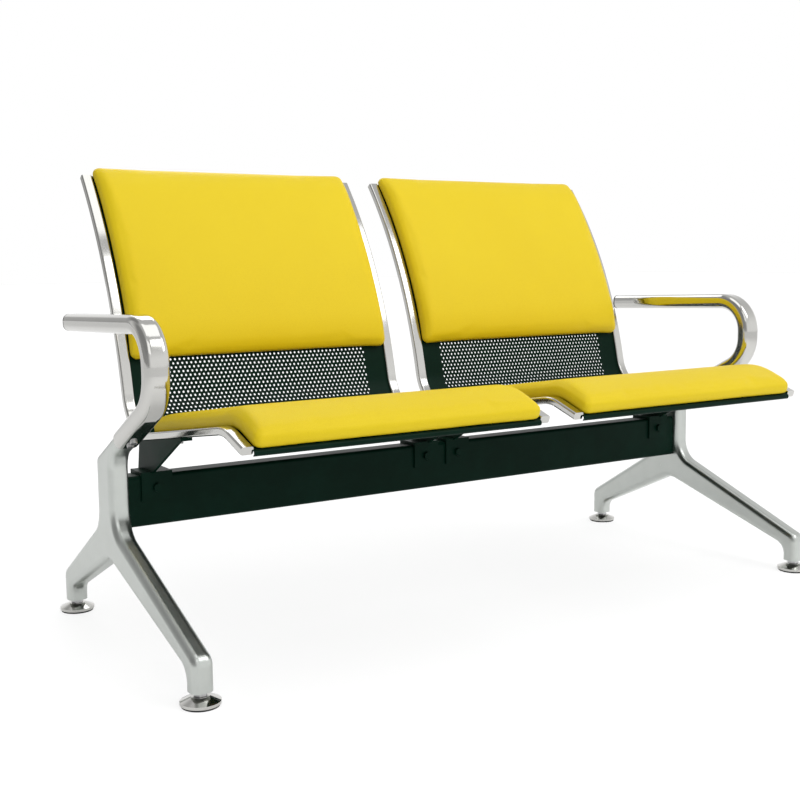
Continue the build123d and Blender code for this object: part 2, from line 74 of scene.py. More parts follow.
ahead = Vector((
    math.sin(camera_yaw) * math.cos(camera_pitch),
    math.cos(camera_yaw) * math.cos(camera_pitch),
    -math.sin(camera_pitch),
))
level = Vector((math.cos(camera_yaw), -math.sin(camera_yaw), 0))
upright = level.cross(ahead)
across = level * math.cos(camera_roll) + upright * math.sin(camera_roll)
upward = upright * math.cos(camera_roll) - level * math.sin(camera_roll)

camera_data = bpy.data.cameras.new("camera")
camera_data.sensor_width = sensor
camera_data.lens = sensor * focal_share
camera_data.clip_end = 200
camera = bpy.data.objects.new("camera", camera_data)
scene.collection.objects.link(camera)
turn = Matrix((across, upward, -ahead)).transposed().to_4x4()
camera.matrix_world = Matrix.Translation(camera_place) @ turn
scene.camera = camera
scene.view_settings.view_transform = "Standard"
print("lens", round(camera_data.lens, 2), "mm")

# %% [markdown]
# ## Numbers that flow through nodes
# A procedural finish is arithmetic on noise, so it reads best as arithmetic. This small class
# wraps a node's output, and every operator on it adds one Math node to the tree.


# %% Node arithmetic
def plug(tree, slot, value):
    """Link a wire or a socket into a slot, or write a plain value there."""
    if isinstance(value, Wire):
        value = value.socket
    if isinstance(value, bpy.types.NodeSocket):
        tree.links.new(value, slot)
    else:
        slot.default_value = value


class Wire:
    """A number in a node tree: an operator on it adds a Math node."""

    def __init__(self, tree, socket):
        self.tree = tree
        self.socket = socket

    def math(self, operation, *terms):
        node = self.tree.nodes.new("ShaderNodeMath")
        node.operation = operation
        for slot, term in zip(node.inputs, terms):
            plug(self.tree, slot, term)
        return Wire(self.tree, node.outputs[0])

    def __add__(self, other):
        return self.math("ADD", self, other)

    def __sub__(self, other):
        return self.math("SUBTRACT", self, other)

    def __rsub__(self, other):
        return self.math("SUBTRACT", other, self)

    def __mul__(self, other):
        return self.math("MULTIPLY", self, other)

    def __truediv__(self, other):
        return self.math("DIVIDE", self, other)

    def __rtruediv__(self, other):
        return self.math("DIVIDE", other, self)

    __radd__ = __add__
    __rmul__ = __mul__

    def between(self, low, high):
        """0 below low, 1 above high, with a soft rise between them."""
        node = self.tree.nodes.new("ShaderNodeMapRange")
        node.interpolation_type = "SMOOTHSTEP"
        for name, value in (("Value", self), ("From Min", low), ("From Max", high)):
            plug(self.tree, node.inputs[name], value)
        return Wire(self.tree, node.outputs["Result"])


# %% [markdown]
# ## Node trees
# A tree is filled one node at a time. A node's settings come first, because they can change which
# sockets it has, and then the values or links of its sockets.


# %% Node trees
class Nodes:
    """A node tree that is filled one node at a time."""

    def __init__(self, tree):
        self.tree = tree

    def node(self, kind, settings=(), sockets=()):
        """A node with its settings made first, then the values or links of its sockets."""
        node = self.tree.nodes.new(kind)
        for key, value in dict(settings).items():
            setattr(node, key, value)
        slots = {slot.identifier: slot for slot in node.inputs}
        for key, value in dict(sockets).items():
            plug(self.tree, slots[key] if key in slots else node.inputs[key], value)
        return node

    def wire(self, node, output):
        return Wire(self.tree, node.outputs[output])

    def blend(self, share, first, second):
        """The colour that lies a share of the way from first to second."""
        sockets = {"Factor_Float": share, "A_Color": first, "B_Color": second}
        node = self.node("ShaderNodeMix", {"data_type": "RGBA"}, sockets)
        return [slot for slot in node.outputs if slot.identifier == "Result_Color"][0]


# %% [markdown]
# ## Finishes
# A finish is a material while its nodes are added. Its patterns are read at Object coordinates, so
# they stay in place on a piece that moves, and a few helpers add the noise, cells and bumps.


# %% Finishes
class Finish(Nodes):
    """A material in the making, with its shader and the place its patterns are read at."""

    def __init__(self, name, **plain):
        self.material = bpy.data.materials.new(name)
        self.material.use_nodes = True
        super().__init__(self.material.node_tree)
        self.shader = self.tree.nodes["Principled BSDF"]
        self.place = self.node("ShaderNodeTexCoord").outputs["Object"]
        self.set(**plain)

    def set(self, **sockets):
        """Shader sockets by name, with _ for a space."""
        for key, value in sockets.items():
            name = key.replace("_", " ").title().replace("Ior", "IOR")
            plug(self.tree, self.shader.inputs[name], value)

    def stretched(self, scale):
        """The object's place, squeezed along its axes so that a pattern runs lengthwise."""
        return self.node("ShaderNodeMapping", {}, {"Vector": self.place, "Scale": scale}).outputs[0]

    def noise(self, scale, detail=2.0, rough=0.5, place=None):
        sockets = {"Vector": place or self.place, "Scale": scale, "Detail": detail, "Roughness": rough}
        return self.wire(self.node("ShaderNodeTexNoise", {}, sockets), "Fac")

    def cells(self, scale, feature="F1"):
        sockets = {"Vector": self.place, "Scale": scale}
        return self.wire(self.node("ShaderNodeTexVoronoi", {"feature": feature}, sockets), "Distance")

    def bump(self, height, depth, strength=1.0):
        """Raise the surface by height times a depth in metres."""
        sockets = {"Height": height, "Distance": depth, "Strength": strength}
        self.set(normal=self.node("ShaderNodeBump", {}, sockets).outputs["Normal"])


def grey(value, tint=(1.0, 1.0, 1.0)):
    """A colour of one brightness, a little tinted."""
    return (value * tint[0], value * tint[1], value * tint[2], 1.0)


# %% [markdown]
# ## Sky
# The bench stands in a white studio. A sky that is white near the horizon and greyer overhead and
# at the left lights it softly and gives the chrome something to show. A grey flag behind the bench,
# a little to its left, gives the near arm a darker tone. The camera itself sees plain white.

# %% Sky
sky_horizon, sky_top, sky_left, sky_darkest = 1.0, 0.66, 0.35, 0.3
overhead_rise, left_rise, behind_rise = (0.22, 0.75), (0.2, 0.85), (0.3, 0.6)
flag_middle, flag_reach, flag_edge, flag_shade = -0.25, 0.2, 0.5, 0.5
world = bpy.data.worlds.new("studio")
world.use_nodes = True
scene.world = world
sky = Nodes(world.node_tree)
direction = sky.node("ShaderNodeTexCoord").outputs["Generated"]
split = sky.node("ShaderNodeSeparateXYZ", {}, {"Vector": direction})
x, y, z = (sky.wire(split, axis) for axis in "XYZ")
overhead = z.between(*overhead_rise)
leftward = (0 - x).between(*left_rise)
shade = sky_horizon - overhead * (sky_horizon - sky_top) - leftward * (sky_horizon - sky_left)
beside = x - flag_middle
flag = (1 - beside.math("ABSOLUTE", beside) / flag_reach).between(0.0, flag_edge)
shade = shade - flag * y.between(*behind_rise) * flag_shade
shade = shade.math("MAXIMUM", shade, sky_darkest)
seen = sky.wire(sky.node("ShaderNodeLightPath"), "Is Camera Ray")
shade = shade.math("MAXIMUM", shade, seen)
plug(sky.tree, sky.tree.nodes["Background"].inputs["Color"], shade)
print("sky", len(sky.tree.nodes), "nodes")

# %% [markdown]
# ## Lamps
# Wide square lamps, from above and mostly from the right, add the brighter tops. They are large and
# not strong, so that the shadow is soft and the colours render about as they are written.

# %% Lamps
lamp_size = 1.6
lamps = {
    "key": ((1.3, -1.9, 2.7), (0, 0, 0.4), 23.0),
    "fill": ((-1.2, -2.2, 2.4), (0.1, 0, 0.4), 6.0),
    "rear": ((0.4, 2.4, 2.4), (0, 0.1, 0.5), 14.0),
    "top": ((0, -0.2, 2.9), (0, -0.1, 0.4), 8.0),
}
for name, (place, aim, watts) in lamps.items():
    data = bpy.data.lights.new(name, "AREA")
    data.size = lamp_size
    data.energy = watts
    made = bpy.data.objects.new(name, data)
    scene.collection.objects.link(made)
    look = (Vector(aim) - Vector(place)).to_track_quat("-Z", "Y")
    made.matrix_world = Matrix.Translation(place) @ look.to_matrix().to_4x4()
    print("lamp", name, watts, "W")

# %% [markdown]
# ## Floor
# The floor is white paper. Paper under soft light renders grey, and more lamps would spoil the
# colours of the bench, so it glows a little, more where the lamps don't reach, but only for rays
# that look at it: from the camera or by way of polished metal. It gives no light to the bench and
# keeps the bench's soft shadow. The feet can be screwed out to below the floor line. To keep them
# in view and in the light there, the camera sees the paper as mostly clear, with the white sky
# behind it, and from below it is clear for all rays.

# %% Floor
floor_reach = 30.0
corners = [(-1, -1), (1, -1), (1, 1), (-1, 1)]
floor_mesh = bpy.data.meshes.new("floor")
floor_mesh.from_pydata([(x * floor_reach, y * floor_reach, 0) for x, y in corners], [], [(0, 1, 2, 3)])
floor = bpy.data.objects.new("floor", floor_mesh)
scene.collection.objects.link(floor)
print("floor", 2 * floor_reach, "m wide")

# %% Paper
paper_clear = 0.6
paper_glow_near, paper_glow_far = 0.42, 0.6
paper_glow_reach = (0.9, 3.0)
paper_glow_in_metal = 0.2
paper = Finish("floor_paper", roughness=0.8, base_color=grey(0.93), specular_ior_level=0.05)
ray = paper.node("ShaderNodeLightPath")
seen = paper.wire(ray, "Is Camera Ray")
by_way_of_metal = paper.wire(ray, "Is Glossy Ray") + paper.wire(ray, "Is Transmission Ray")
away = paper.node("ShaderNodeVectorMath", {"operation": "LENGTH"}, {"Vector": paper.place})
far = paper.wire(away, "Value").between(*paper_glow_reach)
glow = paper_glow_near + far * (paper_glow_far - paper_glow_near)
paper.set(emission_color=seen * glow + by_way_of_metal * paper_glow_in_metal, emission_strength=1.0)
from_below = paper.wire(paper.node("ShaderNodeNewGeometry"), "Backfacing")
clear = seen.math("MAXIMUM", seen * paper_clear, from_below)
film = paper.node("ShaderNodeBsdfTransparent").outputs[0]
sockets = {"Fac": clear, "Shader": paper.shader.outputs[0], "Shader_001": film}
thin = paper.node("ShaderNodeMixShader", {}, sockets)
plug(paper.tree, paper.tree.nodes["Material Output"].inputs["Surface"], thin.outputs[0])
floor_mesh.materials.append(paper.material)
print("paper", len(paper.tree.nodes), "nodes")

# %% [markdown]
# ## Metal finishes
# Bright chrome is a mirror with a faint haze, and what makes it look real is that the haze is
# uneven. The leg castings are polished too, but softer, with a slight waviness from the mould.
# Zinc plate on screws is duller and has a fine mottled grain.

# %% Chrome, alloy and zinc
chrome = Finish("bright_chrome", metallic=1.0)
haze = chrome.noise(9.0, 4.0, 0.6)
wipe = chrome.noise(120.0, 3.0, 0.6, chrome.stretched((1.0, 0.12, 1.0)))
chrome_dull, chrome_bright = grey(0.57, (1, 0.99, 0.945)), grey(0.65, (1, 0.995, 0.96))
chrome.set(base_color=chrome.blend(haze, chrome_dull, chrome_bright))
chrome.set(roughness=0.06 + haze * 0.06 + wipe * 0.04)
chrome.bump(wipe, 0.00003, 0.2)

alloy = Finish("polished_alloy", metallic=1.0)
mould = alloy.noise(26.0, 3.0, 0.55)
rub = alloy.noise(420.0, 2.0, 0.6, alloy.stretched((0.25, 1.0, 0.25)))
alloy_dull, alloy_bright = grey(0.56, (0.955, 1, 0.95)), grey(0.66, (0.96, 1, 0.96))
alloy.set(base_color=alloy.blend(mould, alloy_dull, alloy_bright))
alloy.set(roughness=0.22 + mould * 0.10 + rub * 0.08)
alloy.bump(mould * 0.8 + rub * 0.05, 0.0006, 0.35)

zinc = Finish("zinc_plate", metallic=1.0)
spangle = zinc.cells(900.0)
zinc.set(base_color=zinc.blend(spangle, grey(0.48), grey(0.62, (0.98, 0.99, 1.0))))
zinc.set(roughness=0.28 + spangle * 0.12)
zinc.bump(spangle, 0.0001, 0.3)
print("metal finishes", [finish.material.name for finish in (chrome, alloy, zinc)])

# %% [markdown]
# ## Coats, rubber, plastic and wood
# The beam, the brackets and the panels have a dark powder coat with a green cast. Powder flows
# into tiny swells, so it gets a fine bump and an uneven gloss. Rubber and plastic are matt, and
# the boards inside the pads are plain plywood.

# %% Powder coat
coat_deep, coat_pale = (0.0006, 0.0145, 0.0075, 1), (0.002, 0.0215, 0.0125, 1)
coat = Finish("dark_powder_coat", specular_ior_level=0.07)
peel = coat.noise(1100.0, 2.0, 0.5)
dust = coat.noise(14.0, 5.0, 0.65)
coat.set(base_color=coat.blend(dust.between(0.35, 0.8), coat_deep, coat_pale))
coat.set(roughness=0.34 + dust * 0.14)
coat.bump(peel, 0.00025, 0.3)
print("coat", len(coat.tree.nodes), "nodes")

# %% Rubber, plastic and plywood
rubber = Finish("sole_rubber", specular_ior_level=0.3)
scuff = rubber.noise(160.0, 4.0, 0.7)
rubber.set(base_color=rubber.blend(scuff, grey(0.012), grey(0.035)))
rubber.set(roughness=0.7 + scuff * 0.2)
rubber.bump(scuff, 0.0003, 0.4)

plastic = Finish("plug_plastic", specular_ior_level=0.4)
stipple = plastic.noise(1500.0, 1.0)
plastic.set(base_color=plastic.blend(stipple, grey(0.016), grey(0.026)))
plastic.set(roughness=0.42 + stipple * 0.12)
plastic.bump(stipple, 0.0001, 0.35)

plywood = Finish("board_plywood", specular_ior_level=0.25)
grain = plywood.noise(60.0, 5.0, 0.6, plywood.stretched((0.08, 1.0, 1.0)))
ply_dark, ply_pale = (0.42, 0.27, 0.14, 1), (0.66, 0.49, 0.30, 1)
plywood.set(base_color=plywood.blend(grain, ply_dark, ply_pale))
plywood.set(roughness=0.6 + grain * 0.15)
print("other finishes", [finish.material.name for finish in (rubber, plastic, plywood)])

# %% [markdown]
# ## Yellow cover
# The pads wear a smooth coated cover, close to leather. Its grain is a net of small cells with
# soft valleys, a millimetre or two across, so the height comes from the distance to the cells'
# borders. The colour drifts a little, and the valleys get a painted shade, darker and more orange.

# %% Cover
cover_deep, cover_bright = (0.87, 0.645, 0.009, 1), (0.93, 0.715, 0.016, 1)
# painted shade: the darker colour laid into the grain's valleys, where shade falls
valley_painted_shade, valley_shade_share = (0.66, 0.42, 0.006, 1), 0.22
cover = Finish("yellow_cover", specular_ior_level=0.22)
pebble = cover.cells(720.0, "DISTANCE_TO_EDGE").between(0.0, 0.22)
fine = cover.noise(1500.0, 2.0, 0.6)
drift = cover.noise(5.0, 3.0, 0.5)
tone = cover.blend(drift, cover_deep, cover_bright)
# painted shade in the valleys: a share of that darker colour at the cells' borders
cover.set(base_color=cover.blend((1 - pebble) * valley_shade_share, tone, valley_painted_shade))
cover.set(roughness=0.46 + drift * 0.08 - pebble * 0.05)
cover.bump(pebble * 0.7 + fine * 0.3, 0.0004, 0.35)
print("cover", len(cover.tree.nodes), "nodes")

# %% [markdown]
# ## Finishes on the CAD pieces
# Each CAD piece already knows its slot in the record, and one table from slot to finish dresses
# them all. Only the material changes: the meshes stay as they came.

# %% Dress the CAD pieces
finishes = {
    "chrome": chrome,
    "polished_alloy": alloy,
    "zinc_steel": zinc,
    "black_steel": coat,
    "black_rubber": rubber,
    "black_plastic": plastic,
    "plywood": plywood,
    "yellow_leather": cover,
}
slot_of = {part["node"]: part["material_slot"] for part in frame["record"]["subparts"]}
for name, slot in slot_of.items():
    for place in nodes[name].material_slots:
        place.material = finishes[slot].material
print("dressed", len(slot_of), "CAD pieces")

# %% [markdown]
# ## The seat shell's side line
# Rails, panel and pads all follow one side line: down the curved back, round the bend, along the
# seat and over the front lip. The same lengths and radii as in the CAD model rebuild it here, so
# that a flat piece can be laid on it by a distance along and a height off.

# %% Side line
column_y = 0.04695
seat_rear = (column_y + 0.009, 0.3177)
back_radius, back_arc, back_lean = 0.866, 0.403, 12.0
back_straight = 0.004
bend_radius, seat_rise = 0.075, 8.5
seat_straight = 0.285
fall_radius, lip_drop, lip_length = 0.070, 19.0, 0.046
shell_top = 0.010

bend_turn = (180 - seat_rise) - (270 - back_lean)
back_turn = math.degrees(back_arc / back_radius)
stretches = [
    (back_arc, back_turn),
    (back_straight, 0.0),
    (bend_radius * math.radians(-bend_turn), bend_turn),
    (seat_straight, 0.0),
    (fall_radius * math.radians(seat_rise + lip_drop), seat_rise + lip_drop),
    (lip_length, 0.0),
]
seat_start = sum(length for length, _ in stretches[:3])
shell_length = sum(length for length, _ in stretches)
print("shell length", round(shell_length, 4), "seat starts at", round(seat_start, 4))

# %% [markdown]
# A place on the line is found by walking along its straight and round runs. The first and the last
# run go on past their ends, so that a pad may reach a little further than the panel.


# %% Walk along the side line
def walk(along, heading, runs):
    """Places and headings at distances along a line of straight and round runs from (0, 0)."""
    along = np.asarray(along, float)
    y, z, facing = np.zeros_like(along), np.zeros_like(along), np.zeros_like(along)
    begin, place = 0.0, (0.0, 0.0)
    for number, (length, turn) in enumerate(runs):
        here = along >= begin if number else np.ones_like(along, bool)
        start, bend = math.radians(heading), math.radians(turn)
        gone = along - begin
        angle = start + bend * gone / length
        if turn:
            radius = length / bend
            ys = place[0] + radius * (np.sin(angle) - math.sin(start))
            zs = place[1] - radius * (np.cos(angle) - math.cos(start))
            end = start + bend
            place = (
                place[0] + radius * (math.sin(end) - math.sin(start)),
                place[1] - radius * (math.cos(end) - math.cos(start)),
            )
        else:
            ys = place[0] + gone * math.cos(start)
            zs = place[1] + gone * math.sin(start)
            place = (place[0] + length * math.cos(start), place[1] + length * math.sin(start))
        y[here], z[here], facing[here] = ys[here], zs[here], angle[here]
        begin += length
        heading += turn
    return y, z, facing


def shell_at(along):
    """Places and headings on the shell's side line, in the bench's own frame."""
    y, z, facing = walk(along, 270 - back_lean - back_turn, stretches)
    y0, z0, _ = walk([seat_start], 270 - back_lean - back_turn, stretches)
    return y + seat_rear[0] - y0[0], z + seat_rear[1] - z0[0], facing


def on_shell(centre, flat):
    """Lay flat points (across, along, off) on the shell whose middle is at centre."""
    y, z, facing = shell_at(flat[:, 1])
    off = flat[:, 2]
    return np.stack([centre - flat[:, 0], y + off * np.sin(facing), z - off * np.cos(facing)], axis=1)


top_place = on_shell(0.0, np.zeros((1, 3)))[0]
print("shell top at y", top_place[1].round(4), "z", top_place[2].round(4))

# %% [markdown]
# ## Shapes from node trees
# Some pieces are one small shape repeated, or follow a rule, and Geometry Nodes are made for that.
# Each such tree here has named inputs for its sizes and ends by making its instances real and
# giving them a finish. A host object runs the tree, its result is kept as a plain mesh, and the
# host is thrown away.


# %% Shape trees
class ShapeTree(Nodes):
    """A Geometry Nodes tree with named sizes, whose result is made real and gets a finish."""

    def __init__(self, name, sizes):
        super().__init__(bpy.data.node_groups.new(name, "GeometryNodeTree"))
        face = self.tree.interface
        for label, kind in [*sizes.items(), ("Finish", "Material")]:
            face.new_socket(label, in_out="INPUT", socket_type=f"NodeSocket{kind}")
        face.new_socket("Shape", in_out="OUTPUT", socket_type="NodeSocketGeometry")
        self.given = self.node("NodeGroupInput").outputs
        self.taken = self.node("NodeGroupOutput").inputs

    def size(self, label):
        return Wire(self.tree, self.given[label])

    def close(self, shape):
        """End the tree: instances made real, then the finish."""
        real = self.node("GeometryNodeRealizeInstances", {}, {"Geometry": shape})
        sockets = {"Geometry": real.outputs[0], "Material": self.given["Finish"]}
        painted = self.node("GeometryNodeSetMaterial", {}, sockets)
        self.tree.links.new(painted.outputs[0], self.taken[0])

    def host(self, mesh, settings):
        """A new object on which the tree runs with these sizes."""
        made = bpy.data.objects.new("host", mesh)
        scene.collection.objects.link(made)
        tree = made.modifiers.new("tree", "NODES")
        tree.node_group = self.tree
        for item in self.tree.interface.items_tree:
            if item.name in settings:
                tree[item.identifier] = settings[item.name]
        return made


def keep_mesh(host, name):
    """The host's evaluated mesh as a plain new piece, and the host removed."""
    bpy.context.view_layer.update()
    graph = bpy.context.evaluated_depsgraph_get()
    mesh = bpy.data.meshes.new_from_object(host.evaluated_get(graph))
    mesh.name = name
    bpy.data.objects.remove(host)
    made = bpy.data.objects.new(name, mesh)
    scene.collection.objects.link(made)
    return made


def smooth(mesh, angle):
    """Smooth shading with sharp edges above an angle in degrees."""
    mesh.shade_smooth()
    mesh.set_sharp_from_angle(angle=math.radians(angle))


def triangles(mesh):
    return sum(len(face.vertices) - 2 for face in mesh.polygons)


# %% [markdown]
# ## Perforated panels
# The panel between the rails is punched sheet: rows of small round holes, each row shifted by
# half a pitch, inside plain borders, with both ends rolled over. Cutting thousands of holes with
# booleans is slow and untidy. Instead Geometry Nodes set out one small cell with a hole in it
# again and again, add plain cells for the borders, weld them to one flat sheet and lay that on
# the side line. A Solidify modifier then gives the sheet its thickness, and the holes their walls.

# %% Panel sizes
pitch = 0.008
row = pitch * math.sqrt(3) / 2
hole_radius = 0.002
hole_corners = 12
panel_width = 0.486
columns = 51
border = (panel_width - columns * pitch) / 2
end_border = 0.022
sheet_thickness = 0.0015
curl_radius, curl_turn = 0.004, 150.0
curl_length = curl_radius * math.radians(curl_turn)
curl_steps = 7
open_share = math.pi * hole_radius**2 / (pitch * row)
print("side borders", round(border * 1000, 1), "mm, open share", round(open_share, 2))


# %% Cells
def cell_mesh(name, points, faces):
    """A small flat mesh that the panel's node tree repeats."""
    mesh = bpy.data.meshes.new(name)
    mesh.from_pydata([(x, y, 0.0) for x, y in points], [], faces)
    made = bpy.data.objects.new(name, mesh)
    scene.collection.objects.link(made)
    return made


def punched_cell():
    """A rectangle with a hole. Its long sides have a middle point, where a shifted row joins on."""
    rim = [(0, 0), (pitch / 2, 0), (pitch, 0), (pitch, row), (pitch / 2, row), (0, row)]
    ring = []
    for step in range(hole_corners):
        angle = 2 * math.pi * step / hole_corners - math.pi
        beside, beyond = hole_radius * math.cos(angle), hole_radius * math.sin(angle)
        ring.append((pitch / 2 + beside, row / 2 + beyond))
    fan = hole_corners // len(rim)
    faces = []
    for corner in range(len(rim)):
        reach = [len(rim) + (corner * fan + step) % hole_corners for step in range(fan + 1)]
        faces += [(corner, after, before) for before, after in zip(reach, reach[1:])]
        faces.append((corner, (corner + 1) % len(rim), reach[-1]))
    return cell_mesh("punched_cell", rim + ring, faces)


punched = punched_cell()
plain = cell_mesh("plain_cell", [(0, 0), (1, 0), (1, 1), (0, 1)], [(0, 1, 2, 3)])
print("cell faces", len(punched.data.polygons))

# %% [markdown]
# The tree's host is the side line itself, as a chain of edges with its two rolled ends.

# %% Side line as a chain
roll_points, line_points = 16, 420


def shell_chain():
    """Points on the side line from the top roll to the front roll."""
    steps = np.linspace(0, curl_length, roll_points)
    flat_along = np.linspace(shell_top, shell_length, line_points)
    y, z, facing = shell_at(flat_along)
    ry, rz, _ = walk(steps, math.degrees(facing[0]) + 180, [(curl_length, -curl_turn)])
    fy, fz, _ = walk(steps, math.degrees(facing[-1]), [(curl_length, curl_turn)])
    ys = np.concatenate([(ry + y[0])[:0:-1], y, (fy + y[-1])[1:]])
    zs = np.concatenate([(rz + z[0])[:0:-1], z, (fz + z[-1])[1:]])
    return np.stack([np.zeros_like(ys), ys, zs], axis=1)


chain_points = shell_chain()
chain_total = float(np.linalg.norm(np.diff(chain_points, axis=0), axis=1).sum())
print("chain", len(chain_points), "points", round(chain_total, 4), "m")

# %% [markdown]
# A block of cells is a grid of points with one cell on each. A point's number gives its column and
# its line in the grid, with a small nudge so that the division never falls just short.

# %% Blocks of cells
number_nudge = 0.0005


class PanelTree(ShapeTree):
    """The node tree that sets out blocks of cells and lays them on the chain it is given."""

    def __init__(self, name, sizes):
        super().__init__(name, sizes)
        self.blocks = []

    def block(self, cell, count, step, corner, size=(1, 1)):
        """A grid of cells: how many, how far apart, its lowest corner, and each cell's size."""
        info = self.node("GeometryNodeObjectInfo", {}, {"Object": cell})
        sockets = {"Size X": 0.0, "Size Y": 0.0, "Vertices X": count[0], "Vertices Y": count[1]}
        grid = self.node("GeometryNodeMeshGrid", {}, sockets)
        index = self.wire(self.node("GeometryNodeInputIndex"), "Index")
        column = index / count[1] + number_nudge
        column = column.math("FLOOR", column)
        line = index - column * count[1]
        sockets = {"X": column * step[0] + corner[0], "Y": line * step[1] + corner[1]}
        place = self.node("ShaderNodeCombineXYZ", {}, sockets).outputs[0]
        sockets = {"Geometry": grid.outputs["Mesh"], "Position": place}
        moved = self.node("GeometryNodeSetPosition", {}, sockets).outputs[0]
        sockets = {"Points": moved, "Instance": info.outputs["Geometry"], "Scale": (*size, 1)}
        self.blocks.append(self.node("GeometryNodeInstanceOnPoints", {}, sockets).outputs[0])


# %% [markdown]
# Two blocks of punched cells make the straight and the shifted rows, and blocks of plain cells fill
# the borders, the ends of the shifted rows and the rolls.

# %% Panel tree
panel_sizes = {"Chain": "Geometry", "Centre": "Float", "Start": "Float"}
panel_sizes.update({"Row Pairs": "Int", "Top Roll": "Int", "Front Roll": "Int"})
panel_tree = PanelTree("punched_sheet", panel_sizes)
given = panel_tree.given
start, pairs = panel_tree.size("Start"), panel_tree.size("Row Pairs")
half = columns * pitch / 2
borders = (-half - border, half)
panel_tree.block(punched, (columns, pairs), (pitch, 2 * row), (-half, start))
panel_tree.block(punched, (columns - 1, pairs), (pitch, 2 * row), (pitch / 2 - half, start + row))
for edge in (-half, half - pitch / 2):
    panel_tree.block(plain, (1, pairs), (pitch, 2 * row), (edge, start + row), (pitch / 2, row))
for edge in borders:
    panel_tree.block(plain, (1, pairs * 2), (border, row), (edge, start), (border, row))
roll_step = curl_length / curl_steps
roll_starts = {
    "Top Roll": start - panel_tree.size("Top Roll") * roll_step,
    "Front Roll": start + pairs * (2 * row),
}
for name, low in roll_starts.items():
    cell = (pitch / 2, roll_step)
    panel_tree.block(plain, (2 * columns, given[name]), cell, (-half, low), cell)
    for edge in borders:
        cell = (border, roll_step)
        panel_tree.block(plain, (1, given[name]), cell, (edge, low), cell)
print("blocks of cells", len(panel_tree.blocks))

# %% [markdown]
# The joined cells are made real and welded. Each point's place on the flat sheet then says how far
# along the chain it goes, and the chain's own curve gives the place there.

# %% Lay the sheet on the chain
weld_distance = 0.00002
joined = panel_tree.node("GeometryNodeJoinGeometry")
for made in panel_tree.blocks:
    panel_tree.tree.links.new(made, joined.inputs[0])
whole = panel_tree.node("GeometryNodeRealizeInstances", {}, {"Geometry": joined.outputs[0]})
sockets = {"Geometry": whole.outputs[0], "Distance": weld_distance}
welded = panel_tree.node("GeometryNodeMergeByDistance", {}, sockets)
spot = panel_tree.node("GeometryNodeInputPosition").outputs[0]
flat = panel_tree.node("ShaderNodeSeparateXYZ", {}, {"Vector": spot})
chain = panel_tree.node("GeometryNodeMeshToCurve", {}, {"Mesh": given["Chain"]})
sockets = {"Curves": chain.outputs[0], "Length": flat.outputs["Y"]}
sample = panel_tree.node("GeometryNodeSampleCurve", {"mode": "LENGTH"}, sockets)
side = panel_tree.node("ShaderNodeSeparateXYZ", {}, {"Vector": sample.outputs["Position"]})
across_seat = panel_tree.size("Centre") - panel_tree.wire(flat, "X")
sockets = {"X": across_seat, "Y": side.outputs["Y"], "Z": side.outputs["Z"]}
laid = panel_tree.node("ShaderNodeCombineXYZ", {}, sockets).outputs[0]
sockets = {"Geometry": welded.outputs[0], "Position": laid}
bent = panel_tree.node("GeometryNodeSetPosition", {}, sockets)
panel_tree.close(bent.outputs[0])
print("panel tree", len(panel_tree.tree.nodes), "nodes")

# %% [markdown]
# Each panel is made in two pieces, for the back and for the seat, so that neither has too many
# triangles. They meet between two rows of holes.

# %% Panel rows
straight = chain_total - 2 * curl_length
all_pairs = int((straight - 2 * end_border) / (2 * row))
end_plain = (straight - all_pairs * 2 * row) / 2
plain_steps = curl_steps + round(end_plain / roll_step)
back_pairs = all_pairs // 2
row_spans = {"back": (0, back_pairs), "seat": (back_pairs, all_pairs - back_pairs)}
print("rows of holes", 2 * all_pairs, "plain ends", round(end_plain * 1000, 1), "mm")

# %% Make the panels
seat_centre = 0.286
sheet_sharp = 35
links = [(number, number + 1) for number in range(len(chain_points) - 1)]
for side_name, sign in SIDES.items():
    for part, (first, count) in row_spans.items():
        mesh = bpy.data.meshes.new("chain")
        mesh.from_pydata([tuple(point) for point in chain_points], links, [])
        settings = {
            "Centre": sign * seat_centre,
            "Start": curl_length + end_plain + first * 2 * row,
            "Row Pairs": count,
            "Top Roll": plain_steps if part == "back" else 0,
            "Front Roll": plain_steps if part == "seat" else 0,
            "Finish": coat.material,
        }
        host = panel_tree.host(mesh, settings)
        wall = host.modifiers.new("wall", "SOLIDIFY")
        wall.thickness = sheet_thickness
        wall.offset = 0
        piece = keep_mesh(host, f"punched_{part}_{side_name}")
        smooth(piece.data, sheet_sharp)
        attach(piece, "bench")
        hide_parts(f"seat_panel_{side_name}")
        print(piece.name, "triangles", triangles(piece.data))
for cell in (punched, plain):
    bpy.data.objects.remove(cell)

# %% [markdown]
# ## Threaded studs
# Each foot hangs on a stud with an M10 thread, and part of it shows when the foot is screwed out.
# A thread is a ridge that climbs one pitch in a turn. A Screw modifier could sweep its profile,
# but a rule is simpler: take a fine rod and pull every point inwards by its distance from the
# ridge, which depends only on the point's height and its angle round the axis.

# %% Thread tree
thread_pitch, thread_depth = 0.0015, 0.0009
rod_sides, rings_per_turn = 24, 8
measures = ("Radius", "Length", "Pitch", "Depth")
stud_tree = ShapeTree("threaded_stud", {"Place": "Vector", **dict.fromkeys(measures, "Float")})
radius, length, climb, depth = (stud_tree.size(label) for label in measures)
rings = length / climb * rings_per_turn
sockets = {"Vertices": rod_sides, "Side Segments": rings, "Radius": radius, "Depth": length}
rod = stud_tree.node("GeometryNodeMeshCylinder", {}, sockets).outputs["Mesh"]
spot = stud_tree.node("GeometryNodeInputPosition").outputs[0]
split = stud_tree.node("ShaderNodeSeparateXYZ", {}, {"Vector": spot})
x, y, z = (stud_tree.wire(split, axis) for axis in "XYZ")
turns = z / climb - y.math("ARCTAN2", y, x) / (2 * math.pi)
off_ridge = turns.math("FRACT", turns) * 2 - 1
off_ridge = off_ridge.math("ABSOLUTE", off_ridge)
tip = (z.math("ABSOLUTE", z) - length / 2).between(0 - climb, 0.0)
